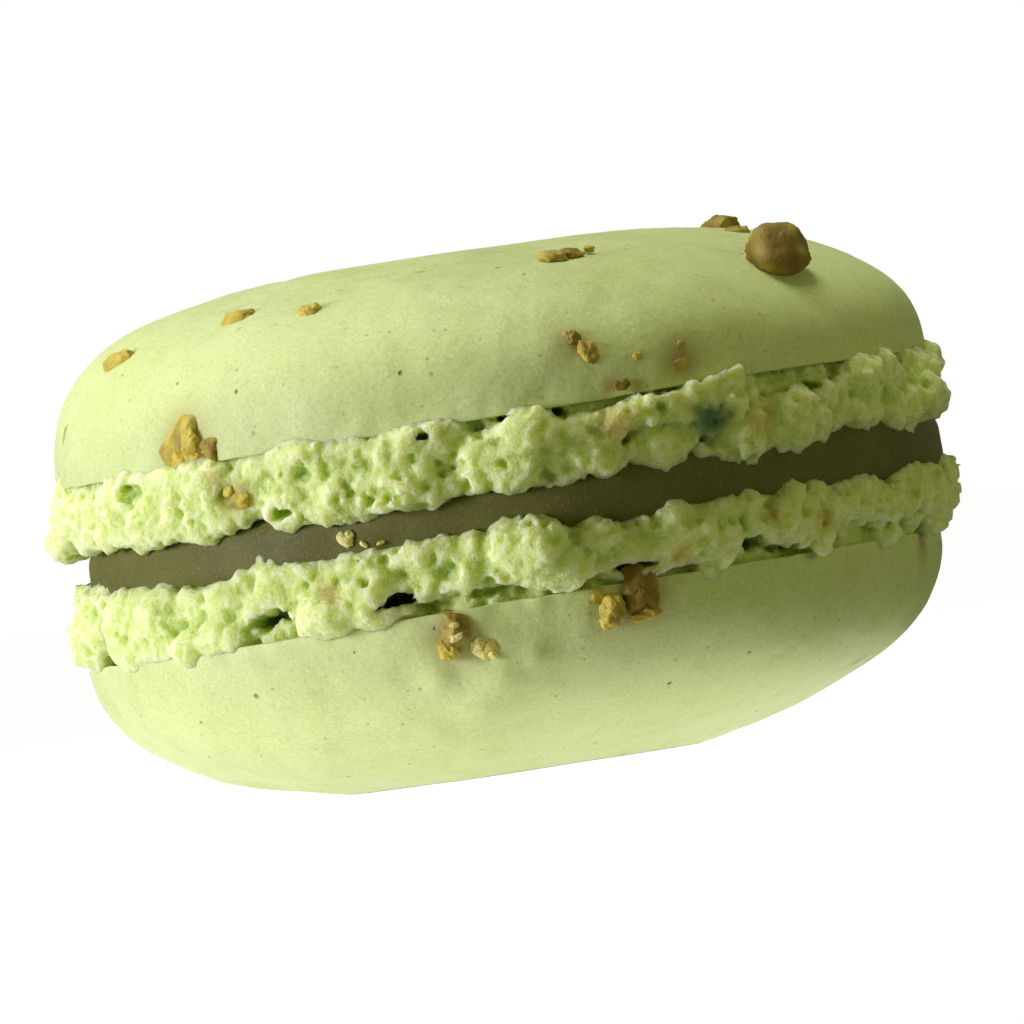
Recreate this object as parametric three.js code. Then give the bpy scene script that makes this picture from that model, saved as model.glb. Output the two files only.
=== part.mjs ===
// A French macaron: two baked almond shells, each with a ruffled foot, and a disc of ganache between them.
// Millimetres, +Z up. It lies level on the flattened crown of its lower shell, and the origin is on that
// surface, under the middle of the whole. Each shell is one solid, dome and foot together.

import * as THREE from "three";

// Driving dimensions of each shell, in the shell's own frame: the flat base that was baked on the sheet is
// at z = 0 and the dome is up.
const UPPER_SHELL = {
  node: "shell_upper",
  domeRadius: 22.0, // at the skirt, where the smooth dome ends
  domeHeight: 8.25, // skirt to crown
  crownFlatness: 2.75, // power of the dome's superellipse: 2 is an ellipse, more is flatter on top
  footHeight: 3.5, // base to skirt
  restCut: 0, // depth of crown that its own weight has flattened
  sideways: -0.2, // shift along X against the whole
  seed: 11,
};
const LOWER_SHELL = {
  node: "shell_lower",
  domeRadius: 21.5,
  domeHeight: 8.5,
  crownFlatness: 2.35,
  footHeight: 3.4,
  restCut: 0.35,
  sideways: -0.1,
  seed: 29,
};
const CROWN_LEAN = 0.06; // share by which each dome is taller towards -X and lower towards +X

// The foot: a ring of froth that rose from under the skirt, in round lobes that stand proud of the dome.
const LIP_DROP = 0.2; // thickness of the skirt's edge
const GROOVE_DEPTH = 1.1; // how far the froth is set back just behind the skirt
const FROTH_SETBACK = 0.25; // how far the froth between the lobes lies inside the dome's radius
const FROTH_SQUARENESS = 0.3; // power of the froth's section: 0 is a flat face, 1 a round one
const LOBE_ROWS = 2;
const LOBES_PER_ROW = 26;
const LOBE_HALF_WIDTH = [1.5, 3.0]; // least and most, along the ring
const LOBE_BULGE = [0.4, 1.6]; // least and most, outwards
const FRINGE_HANG = 1.0; // how far the proudest lobe hangs past the base, outside the filling
const FRINGE_THICKNESS = 0.5;

// The ganache, which is spread to just inside the feet and bulges a little.
const FILLING = {
  node: "filling",
  radius: 21.4, // at its widest
  thickness: 2.7,
  edgeBulge: 0.7, // widest radius less the radius at its two faces
  wobble: 0.12, // how far its edge wanders from a circle
  wobbleCycles: 5,
  sideways: 0.4,
};
const FRINGE_CLEAR = FILLING.radius + FILLING.wobble + FILLING.sideways; // inside this no froth hangs

// Facets.
const AROUND = 108;
const DOME_RINGS = 9;
const FOOT_RINGS = 8;
const EDGE_RINGS = 5;

const skin = new THREE.MeshStandardMaterial({ color: 0xcdd98f, roughness: 0.6, metalness: 0 });
const ganache = new THREE.MeshStandardMaterial({ color: 0x7a7845, roughness: 0.5, metalness: 0 });

// Seeded random numbers from 0 to 1, so that every build gives the same macaron.
function randomFrom(seed) {
  let state = seed >>> 0;
  return () => {
    state = (state + 0x6d2b79f5) >>> 0;
    let mixed = Math.imul(state ^ (state >>> 15), 1 | state);
    mixed = (mixed + Math.imul(mixed ^ (mixed >>> 7), 61 | mixed)) ^ mixed;
    return ((mixed ^ (mixed >>> 14)) >>> 0) / 2 ** 32;
  };
}

const between = ([least, most], share) => least + (most - least) * share;

// The rounded lobes of froth round one foot, in rows, each with its place, half width and bulge.
function frothLobes(shell) {
  const random = randomFrom(shell.seed);
  const lobes = [];
  for (let row = 0; row < LOBE_ROWS; row++) {
    for (let i = 0; i < LOBES_PER_ROW; i++) {
      const place = i + 0.5 * row + 0.5 * random();
      lobes.push({
        angle: (2 * Math.PI * place) / LOBES_PER_ROW,
        height: (shell.footHeight * (row + 0.25 + 0.5 * random())) / LOBE_ROWS,
        halfWidth: between(LOBE_HALF_WIDTH, random()),
        bulge: between(LOBE_BULGE, random()),
      });
    }
  }
  return lobes;
}

// How far the froth stands out at one place: the height there of the proudest round lobe.
function lobeBulge(lobes, radius, angle, height) {
  let proudest = 0;
  for (const lobe of lobes) {
    const turn = Math.atan2(Math.sin(angle - lobe.angle), Math.cos(angle - lobe.angle));
    const along = (radius * turn) / lobe.halfWidth;
    const up = (height - lobe.height) / lobe.halfWidth;
    const left = 1 - along * along - up * up;
    if (left > 0) proudest = Math.max(proudest, lobe.bulge * Math.sqrt(left));
  }
  return proudest;
}

// One ring of a shell's skin: its radius and height, and how far the lobes push it out and down.
const ring = (radius, height, push = 0, hang = 0) => ({ radius, height, push, hang });

// The rings of a dome from crown to skirt: a superellipse, flat on top and upright at the skirt.
function domeRings(shell) {
  const power = 2 / shell.crownFlatness;
  return Array.from({ length: DOME_RINGS }, (_, i) => {
    const fall = (Math.PI / 2) * ((i + 1) / DOME_RINGS);
    return ring(
      shell.domeRadius * Math.sin(fall) ** power,
      shell.footHeight + shell.domeHeight * Math.max(0, Math.cos(fall)) ** power,
    );
  });
}

// The rings of the foot: the skirt's edge, the groove behind it, the swelling froth and its hanging fringe.
function footRings(shell) {
  const neck = shell.domeRadius - GROOVE_DEPTH;
  const frothTop = shell.footHeight - 2 * LIP_DROP;
  const rings = [ring(shell.domeRadius - LIP_DROP, shell.footHeight - LIP_DROP), ring(neck, frothTop)];
  for (let i = 1; i <= FOOT_RINGS; i++) {
    const fall = (i - 0.5) / FOOT_RINGS;
    const swell = Math.sin(Math.PI * fall) ** FROTH_SQUARENESS;
    rings.push(
      ring(
        neck + (GROOVE_DEPTH - FROTH_SETBACK) * swell,
        frothTop * (1 - i / FOOT_RINGS),
        swell,
        (FRINGE_HANG / LOBE_BULGE[1]) * fall ** 3,
      ),
    );
  }
  return rings;
}

// A closed body from rings of AROUND points, first ring uppermost, with a point on the axis at each end.
function bodyOfRings(rows, top, bottom) {
  const points = [top, ...rows.flat(), bottom];
  const last = points.length - 1;
  const faces = [];
  for (let j = 0; j < AROUND; j++) {
    const next = (j + 1) % AROUND;
    faces.push(0, 1 + j, 1 + next);
    for (let i = 0; i + 1 < rows.length; i++) {
      const upper = 1 + i * AROUND;
      const lower = upper + AROUND;
      faces.push(upper + j, lower + j, lower + next, upper + j, lower + next, upper + next);
    }
    const foot = 1 + (rows.length - 1) * AROUND;
    faces.push(foot + j, last, foot + next);
  }
  const geometry = new THREE.BufferGeometry().setFromPoints(points).setIndex(faces);
  geometry.computeVertexNormals();
  return geometry;
}

const angleOf = (j) => (2 * Math.PI * j) / AROUND;
const spoke = (radius, angle, height) =>
  new THREE.Vector3(radius * Math.cos(angle), radius * Math.sin(angle), height);

// A point of a dome's ring: the dome leans, and past its top the crown is pressed flat.
function domePoint(shell, at, angle, top) {
  const lean = -CROWN_LEAN * (at.radius / shell.domeRadius) * Math.cos(angle);
  const height = at.height + lean * Math.max(0, at.height - shell.footHeight);
  return spoke(at.radius, angle, Math.min(top, height));
}

// A point of the foot's ring: the lobes push it out, and those beyond the filling hang past the base.
function frothPoint(shell, lobes, at, angle) {
  const bulge = at.push * lobeBulge(lobes, shell.domeRadius, angle, at.height);
  const radius = at.radius + bulge;
  const hang = Math.max(0, Math.min(at.hang * bulge, radius - FRINGE_CLEAR));
  return spoke(radius, angle, at.height - hang);
}

// One shell, dome up, with its base at z = 0.
function makeShell(shell) {
  const lobes = frothLobes(shell);
  const top = shell.footHeight + shell.domeHeight - shell.restCut;
  const angles = Array.from({ length: AROUND }, (_, j) => angleOf(j));
  const dome = domeRings(shell).map((at) => angles.map((angle) => domePoint(shell, at, angle, top)));
  const foot = footRings(shell).map((at) => angles.map((angle) => frothPoint(shell, lobes, at, angle)));
  const base = foot.at(-1).map((edge, j) =>
    spoke(Math.hypot(edge.x, edge.y) - FRINGE_THICKNESS, angles[j], 0),
  );
  const rows = [...dome, ...foot, base];
  const geometry = bodyOfRings(rows, new THREE.Vector3(0, 0, top), new THREE.Vector3());
  const mesh = new THREE.Mesh(geometry, skin);
  mesh.name = shell.node;
  mesh.position.x = shell.sideways;
  return mesh;
}

// The disc of ganache, with its lower face at z = 0 and a round, slightly wandering edge.
function makeFilling(filling) {
  const rows = Array.from({ length: EDGE_RINGS }, (_, i) => {
    const rise = 1 - (2 * i) / (EDGE_RINGS - 1);
    return Array.from({ length: AROUND }, (_, j) => {
      const angle = angleOf(j);
      const wander = filling.wobble * Math.sin(filling.wobbleCycles * angle + rise);
      const radius = filling.radius - filling.edgeBulge * rise * rise + wander;
      return spoke(radius, angle, (filling.thickness * (1 + rise)) / 2);
    });
  });
  const top = new THREE.Vector3(0, 0, filling.thickness);
  const mesh = new THREE.Mesh(bodyOfRings(rows, top, new THREE.Vector3()), ganache);
  mesh.name = filling.node;
  mesh.position.x = filling.sideways;
  return mesh;
}

// The stack, from the surface up: the lower shell turned over, the filling, and the upper shell.
function makeMacaron() {
  const lower = makeShell(LOWER_SHELL);
  const filling = makeFilling(FILLING);
  const upper = makeShell(UPPER_SHELL);
  const lowerTop = LOWER_SHELL.footHeight + LOWER_SHELL.domeHeight - LOWER_SHELL.restCut;
  lower.rotation.x = Math.PI;
  lower.position.z = lowerTop;
  filling.position.z = lowerTop;
  upper.position.z = lowerTop + FILLING.thickness;

  const stack = new THREE.Group();
  stack.add(lower, filling, upper);
  const middle = new THREE.Box3().setFromObject(stack, true).getCenter(new THREE.Vector3());
  stack.position.set(-middle.x, -middle.y, 0);
  const macaron = new THREE.Group();
  macaron.add(stack);
  return macaron;
}

export default makeMacaron();
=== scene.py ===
"""A French macaron: two pistachio-green almond shells with ruffled feet, and a ganache between them.

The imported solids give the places: the filling's box gives the two planes that the shells were baked on, and
the shells' boxes give the crowns. Each solid is replaced by finer surfaces of the same size.
Lengths are millimetres until a mesh is made, which turns them to metres.
"""

import logging
import math
from dataclasses import dataclass, replace
from enum import Enum
from itertools import product

import bpy
import numpy as np
from mathutils import Matrix, Vector


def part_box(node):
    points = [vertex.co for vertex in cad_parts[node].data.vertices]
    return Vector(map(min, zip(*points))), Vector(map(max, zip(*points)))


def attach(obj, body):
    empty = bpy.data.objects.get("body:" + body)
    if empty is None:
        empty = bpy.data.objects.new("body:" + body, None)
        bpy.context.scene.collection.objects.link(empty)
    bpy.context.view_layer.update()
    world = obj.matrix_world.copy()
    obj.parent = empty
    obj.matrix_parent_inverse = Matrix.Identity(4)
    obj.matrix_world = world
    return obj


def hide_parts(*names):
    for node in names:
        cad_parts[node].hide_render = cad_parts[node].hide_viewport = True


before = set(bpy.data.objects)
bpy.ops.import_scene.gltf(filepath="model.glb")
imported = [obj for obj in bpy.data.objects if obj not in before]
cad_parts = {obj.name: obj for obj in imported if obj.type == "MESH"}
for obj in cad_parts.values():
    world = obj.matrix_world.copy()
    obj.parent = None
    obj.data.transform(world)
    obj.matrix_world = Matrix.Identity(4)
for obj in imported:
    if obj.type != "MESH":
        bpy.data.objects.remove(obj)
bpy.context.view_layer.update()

log = logging.getLogger("macaron")

MM = 0.001
BODY = "root"
TIP = 0.015  # rise of the shells' planes and of the filling towards +X

Tree = bpy.types.NodeTree
Socket = bpy.types.NodeSocket
Material = bpy.types.Material
Piece = bpy.types.Object


# ---------------------------------------------------------------- numbers and arrays


def linear(colour: str) -> tuple[float, float, float, float]:
    """An sRGB hex colour as linear light.

    Args:
        colour: six hex digits, such as "cdd88c".

    Returns:
        Red, green, blue and an alpha of 1: c/12.92 below 0.04045, ((c + 0.055)/1.055)^2.4 above.
    """
    shares = [int(colour[i : i + 2], 16) / 255 for i in (0, 2, 4)]
    return (*[c / 12.92 if c <= 0.04045 else ((c + 0.055) / 1.055) ** 2.4 for c in shares], 1.0)


def soft_max(a: np.ndarray, b: np.ndarray, blend: float) -> np.ndarray:
    """The larger of two fields, rounded where they meet.

    Args:
        a: one field.
        b: the other field.
        blend: width of the rounded part, in the fields' own unit.

    Returns:
        max(a, b) plus the square of what is left of the blend, over four blends.
    """
    return np.maximum(a, b) + np.maximum(blend - np.abs(a - b), 0) ** 2 / (4 * blend)


def ramped(values: np.ndarray, none_at: float, full_at: float) -> np.ndarray:
    """Shares that go evenly from 0 at none_at to 1 at full_at, whichever is the larger, and stay there."""
    return np.clip((values - none_at) / (full_at - none_at), 0, 1)


@dataclass(frozen=True)
class Ripple:
    """Gentle unevenness: a sum of sine waves that run in random directions, all of about one length."""

    length: float
    height: float
    seed: int
    waves: int = 20

    def at(self, points: np.ndarray) -> np.ndarray:
        """The unevenness at some places.

        Args:
            points: places as rows of x, y, z.

        Returns:
            One height per place, whose spread is about self.height.
        """
        rng = np.random.default_rng(self.seed)
        direction = rng.normal(size=(3, self.waves))
        direction /= np.linalg.norm(direction, axis=0)
        turns = direction / (self.length * rng.uniform(0.7, 1.5, self.waves))
        phase = rng.uniform(0, 2 * np.pi, self.waves)
        return self.height * math.sqrt(2 / self.waves) * np.sin(2 * np.pi * points @ turns + phase).sum(1)


def foam(shape: tuple[int, int, int], length: float, rng: np.random.Generator) -> np.ndarray:
    """Random numbers on a grid, smoothed to one grain size. The first axis closes on itself.

    Args:
        shape: the grid's size.
        length: the grain, in grid steps from one rise to the next.
        rng: where the numbers come from.

    Returns:
        A grid with a mean of 0 and a spread of 1: white noise, each of whose frequencies f is weighed by
        a bell round 1/length.
    """
    spectrum = np.fft.rfftn(rng.normal(size=shape))
    steps = [np.fft.fftfreq(shape[0]), np.fft.fftfreq(shape[1]), np.fft.rfftfreq(shape[2])]
    f = np.sqrt(sum(g**2 for g in np.meshgrid(*steps, indexing="ij")))
    smooth = np.fft.irfftn(spectrum * np.exp(-(((f * length - 1) / 0.5) ** 2)), s=shape, axes=(0, 1, 2))
    return (smooth - smooth.mean()) / smooth.std()


def ring_quads(rings: int, around: int) -> np.ndarray:
    """Quads between neighbouring rings of points, each ring closed.

    Args:
        rings: how many rings.
        around: points in each ring.

    Returns:
        Rows of four point numbers, facing away from the axis when the rings run from top to bottom.
    """
    i, j = np.meshgrid(np.arange(rings - 1), np.arange(around), indexing="ij")
    here, there = i * around + j, i * around + (j + 1) % around
    return np.stack([here, here + around, there + around, there], -1).reshape(-1, 4)


def closed_by_fans(rows: np.ndarray) -> tuple[np.ndarray, list[list[int]]]:
    """A closed skin from rings of points, with a fan to the middle of the first and of the last ring.

    Args:
        rows: points as rings x around x 3, from top to bottom.

    Returns:
        The points and the faces.
    """
    rings, around = rows.shape[:2]
    points = np.concatenate([rows.reshape(-1, 3), rows[0].mean(0)[None], rows[-1].mean(0)[None]])
    top, bottom = len(points) - 2, len(points) - 1
    step = np.arange(around)
    after = (step + 1) % around
    last = (rings - 1) * around
    lid = np.stack([np.full(around, top), step, after], -1)
    base = np.stack([np.full(around, bottom), last + after, last + step], -1)
    return points, ring_quads(rings, around).tolist() + lid.tolist() + base.tolist()


# ---------------------------------------------------------------- patterns and coats of a material


def add(tree: Tree, kind: str, inputs: dict | None = None, **settings: object) -> bpy.types.Node:
    """Adds one node with its settings and links.

    Args:
        tree: the material's node tree.
        kind: the node's type, without its "ShaderNode".
        inputs: socket name or number to a value, or to the socket that feeds it.
        settings: the node's own properties.

    Returns:
        The node.
    """
    made = tree.nodes.new("ShaderNode" + kind)
    for name, value in settings.items():
        setattr(made, name, value)
    for key, value in (inputs or {}).items():
        if isinstance(value, Socket):
            tree.links.new(value, made.inputs[key])
        else:
            made.inputs[key].default_value = value
    return made


def per_metre(size_mm: float) -> float:
    """The scale of a pattern whose grain is size_mm, for a texture that reads metres."""
    return 1 / (size_mm * MM)


@dataclass(frozen=True)
class Mottle:
    """Soft random patches: their grain, and the noise that counts as none and as full."""

    grain: float
    none_at: float
    full_at: float

    def mask(self, tree: Tree, place: Socket) -> Socket:
        """Adds the patches.

        Args:
            tree: the material's node tree.
            place: the coordinates.

        Returns:
            A socket from 0 to 1.
        """
        noise = add(tree, "TexNoise", {"Vector": place, "Scale": per_metre(self.grain), "Detail": 3.0})
        limits = {1: self.none_at, 2: self.full_at, 3: 0.0, 4: 1.0}
        return add(tree, "MapRange", {0: noise.outputs[0], **limits}).outputs[0]


@dataclass(frozen=True)
class Specks:
    """Dots in a surface: in a share of the cells of a random packing, one dot near each cell's middle."""

    spacing: float
    radius: float
    share: float

    def mask(self, tree: Tree, place: Socket) -> Socket:
        """Adds the dots.

        Args:
            tree: the material's node tree.
            place: the coordinates.

        Returns:
            A socket that is 1 on a dot, 0 between dots and soft at its edge.
        """
        cells = add(tree, "TexVoronoi", {"Vector": place, "Scale": per_metre(self.spacing)})
        chance = add(tree, "SeparateColor", {0: cells.outputs["Color"]}).outputs[0]
        reach = self.radius / self.spacing
        size = add(tree, "MapRange", {0: chance, 1: 1 - self.share, 2: 1.0, 3: 0.0, 4: reach}).outputs[0]
        inside = add(tree, "Math", {0: size, 1: cells.outputs["Distance"]}, operation="SUBTRACT").outputs[0]
        return add(tree, "MapRange", {0: inside, 1: 0.0, 2: reach * 0.5, 3: 0.0, 4: 1.0}).outputs[0]


@dataclass(frozen=True)
class Bubbles:
    """Round bubbles packed against each other."""

    size: float

    def mask(self, tree: Tree, place: Socket) -> Socket:
        """Adds the bubbles, whose socket is 0 at a bubble's middle and grows to its wall."""
        return add(tree, "TexVoronoi", {"Vector": place, "Scale": per_metre(self.size)}).outputs["Distance"]


@dataclass(frozen=True)
class Mark:
    """Where the mesh says so: an attribute with a number from 0 to 1 for each point."""

    name: str

    def mask(self, tree: Tree, _place: Socket | None = None) -> Socket:
        """Adds the attribute's node, whose socket is the mask."""
        return add(tree, "Attribute", attribute_name=self.name).outputs["Fac"]


Pattern = Mottle | Specks | Bubbles | Mark


@dataclass(frozen=True)
class Coat:
    """One colour laid over those below it, where its pattern is; strength is how much of it shows there."""

    colour: str
    strength: float
    pattern: Pattern

    def over(self, tree: Tree, place: Socket, under: Socket | tuple) -> Socket:
        """Lays the coat.

        Args:
            tree: the material's node tree.
            place: the coordinates.
            under: the colour below, as a socket or a linear colour.

        Returns:
            The mixed colour's socket.
        """
        where = {0: self.pattern.mask(tree, place), 1: self.strength}
        share = add(tree, "Math", where, operation="MULTIPLY", use_clamp=True).outputs[0]
        colours = {6: under, 7: linear(self.colour)}
        return add(tree, "Mix", {0: share, **colours}, data_type="RGBA", blend_type="MIX").outputs[2]


@dataclass(frozen=True)
class Relief:
    """Relief finer than the mesh: its depth, its pattern, and whether the pattern stands up or is sunk."""

    depth: float
    pattern: Pattern
    sunk: bool = False

    def over(self, tree: Tree, place: Socket, under: Socket | None) -> Socket:
        """Lays the relief.

        Args:
            tree: the material's node tree.
            place: the coordinates.
            under: the normal that it is laid over, if there is one.

        Returns:
            The normal's socket.
        """
        height = self.pattern.mask(tree, place)
        if self.sunk:
            height = add(tree, "Math", {0: 1.0, 1: height}, operation="SUBTRACT").outputs[0]
        below = {} if under is None else {"Normal": under}
        return add(tree, "Bump", {"Height": height, "Distance": self.depth * MM, **below}).outputs[0]


# ---------------------------------------------------------------- finishes


@dataclass(frozen=True)
class Finish:
    """A food's surface: a ground colour, the coats over it, its relief, and how light shines on and in it.

    The depth is how far light soaks in, in millimetres, and the shares are those of red, green and blue.
    """

    name: str
    colour: str
    coats: tuple[Coat, ...]
    reliefs: tuple[Relief, ...]
    roughness: float
    gloss: float
    soaked: float = 0.0
    soaked_shares: tuple[float, float, float] = (1.0, 1.0, 1.0)
    soaked_depth: float = 1.0

    def ground(self, _tree: Tree) -> Socket | tuple:
        """The colour under all the coats."""
        return linear(self.colour)

    def make(self) -> Material:
        """Makes the material.

        Returns:
            The material: each coat over the one before it, and each relief over the one before it.
        """
        material = bpy.data.materials.new(self.name)
        material.use_nodes = True
        tree = material.node_tree
        shader = tree.nodes["Principled BSDF"]
        place = add(tree, "TexCoord").outputs["Object"]
        colour = self.ground(tree)
        for coat in self.coats:
            colour = coat.over(tree, place, colour)
        normal = None
        for relief in self.reliefs:
            normal = relief.over(tree, place, normal)
        tree.links.new(colour, shader.inputs["Base Color"])
        tree.links.new(normal, shader.inputs["Normal"])
        shader.inputs["Roughness"].default_value = self.roughness
        shader.inputs["Specular IOR Level"].default_value = self.gloss
        shader.inputs["Subsurface Weight"].default_value = self.soaked
        shader.inputs["Subsurface Radius"].default_value = self.soaked_shares
        shader.inputs["Subsurface Scale"].default_value = self.soaked_depth * MM
        return material


PINHOLES = Specks(1.35, 0.17, 0.5)


@dataclass(frozen=True)
class BakedSkin(Finish):
    """Almond meringue, rested until a skin formed, then baked: a matt eggshell with ground-nut specks."""

    name: str = "baked_almond_skin"
    colour: str = "ccd883"
    coats: tuple[Coat, ...] = (
        Coat("dce59c", 0.4, Mottle(7.0, 0.4, 0.7)),  # paler where the skin dried first
        Coat("b3c066", 0.35, Mottle(1.7, 0.5, 0.75)),  # greener where the batter lay thicker
        Coat("6f7834", 0.22, Mottle(0.15, 0.5, 0.75)),  # the grain of ground almond
        Coat("dce59c", 0.45, Mottle(0.2, 0.48, 0.7)),  # sugar between the grains
        Coat("6f7834", 0.45, Specks(0.55, 0.13, 0.4)),  # ground pistachio
        Coat("97702f", 0.5, Specks(1.3, 0.19, 0.3)),  # bits of the almonds' brown coats
        Coat("e6e39a", 0.8, Specks(2.6, 0.24, 0.5)),  # coarser almond
        Coat("6f7834", 0.75, PINHOLES),  # shade in the holes that bubbles left
        Coat("94741f", 0.7, Mark("caramel")),  # caramel that ran from the nuts
    )
    reliefs: tuple[Relief, ...] = (Relief(0.12, PINHOLES, sunk=True), Relief(0.018, Mottle(0.5, 0.3, 0.7)))
    roughness: float = 0.62
    gloss: float = 0.3
    soaked: float = 0.25
    soaked_shares: tuple[float, float, float] = (1.0, 1.0, 0.35)
    soaked_depth: float = 0.8


@dataclass(frozen=True)
class BakedFroth(Finish):
    """The meringue's open crumb: thin-walled bubbles, which light soaks through, yellower than the skin."""

    name: str = "baked_meringue_froth"
    colour: str = "d5e47f"
    coats: tuple[Coat, ...] = (
        Coat("e9f2a9", 0.85, Mark("knob")),  # painted light: paler on the knobs that stand out
        Coat("b2ca58", 0.75, Mark("hollow")),  # painted shade: a darker, stronger green in the hollows
        Coat("e9f2a9", 0.6, Mottle(0.3, 0.5, 0.75)),
        Coat("b2ca58", 0.3, Mottle(0.16, 0.55, 0.75)),
        Coat("c6aa55", 0.6, Mark("toast")),  # caramel under the surface
        Coat("0b5546", 0.85, Mark("dye")),  # a drop of colour that didn't mix in
        Coat("3a4418", 0.85, Mark("painted_cave_shade")),  # painted shade: darkest deep in the caves
    )
    reliefs: tuple[Relief, ...] = (
        Relief(0.07, Bubbles(0.3), sunk=True),
        Relief(0.05, Mottle(0.16, 0.3, 0.7)),
    )
    roughness: float = 0.8
    gloss: float = 0.05
    soaked: float = 0.85
    soaked_shares: tuple[float, float, float] = (1.0, 1.0, 0.4)
    soaked_depth: float = 1.5


@dataclass(frozen=True)
class SoftGanache(Finish):
    """Chocolate and pistachio ganache, piped and pressed: a dull satin, with a fine ground-nut grain."""

    name: str = "pistachio_ganache"
    colour: str = "64622c"
    coats: tuple[Coat, ...] = (
        Coat("464417", 0.4, Mottle(3.0, 0.4, 0.7)),  # darker where the chocolate is richer
        Coat("84824c", 0.5, Mottle(0.13, 0.5, 0.75)),  # ground nut
        Coat("464417", 0.6, Specks(0.8, 0.12, 0.35)),  # grains of cocoa
    )
    reliefs: tuple[Relief, ...] = (Relief(0.012, Mottle(0.2, 0.3, 0.7)),)
    roughness: float = 0.6
    gloss: float = 0.12


@dataclass(frozen=True)
class CaramelNut(Finish):
    """Chopped nut boiled in sugar: from dark glassy sugar through amber and gold to the tan of bare nut."""

    name: str = "caramelised_nut"
    colour: str = "5a4616"
    lighter: tuple[str, ...] = ("8a7429", "bfac40", "d4c14c", "e8e18a")
    coats: tuple[Coat, ...] = (Coat("5a4a1a", 0.28, Mottle(0.9, 0.5, 0.75)),)  # thicker, darker sugar in random patches
    reliefs: tuple[Relief, ...] = (Relief(0.04, Mottle(0.4, 0.3, 0.7)),)
    roughness: float = 0.5
    gloss: float = 0.18
    soaked: float = 0.1
    soaked_shares: tuple[float, float, float] = (1.0, 0.95, 0.3)
    soaked_depth: float = 0.4

    def ground(self, tree: Tree) -> Socket:
        """The chip's own tone, from the darkest sugar to bare nut.

        Args:
            tree: the material's node tree.

        Returns:
            The colour's socket, from a ramp that the tone attribute runs along.
        """
        ramp = add(tree, "ValToRGB", {0: Mark("tone").mask(tree)})
        hues = (self.colour, *self.lighter)
        stops = ramp.color_ramp.elements
        for i, hue in enumerate(hues):
            at = i / (len(hues) - 1)
            stop = stops[i] if i < 2 else stops.new(at)
            stop.position = at
            stop.color = linear(hue)
        return ramp.outputs["Color"]


# ---------------------------------------------------------------- pieces


def make_piece(
    name: str,
    points: np.ndarray,
    faces: list,
    material: Material,
    marks: dict[str, np.ndarray] | None = None,
) -> Piece:
    """Makes one finished piece, smooth shaded, that rides on the macaron.

    Args:
        name: the piece's name.
        points: its points in millimetres.
        faces: its faces.
        material: its finish.
        marks: attribute names to one number per point.

    Returns:
        The new object.
    """
    mesh = bpy.data.meshes.new(name)
    mesh.from_pydata((points * MM).tolist(), [], faces)
    for mark, values in (marks or {}).items():
        mesh.attributes.new(mark, "FLOAT", "POINT").data.foreach_set("value", values.astype(np.float32))
    mesh.polygons.foreach_set("use_smooth", np.ones(len(mesh.polygons), bool))
    mesh.materials.append(material)
    mesh.validate()
    piece = bpy.data.objects.new(name, mesh)
    bpy.context.scene.collection.objects.link(piece)
    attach(piece, BODY)
    return piece


class Facing(Enum):
    """Which way a shell's dome points."""

    UP = 1
    DOWN = -1

    def turned(self, faces: list) -> list:
        """The faces of a skin that was made facing up, turned over if this one faces down."""
        return [face[::-1] for face in faces] if self is Facing.DOWN else faces


@dataclass(frozen=True)
class Spot:
    """A round place on the front of a shell: its x and height, how far it reaches, and how high it rises."""

    across: float
    height: float
    reach: float
    rise: float = 0.0


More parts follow.
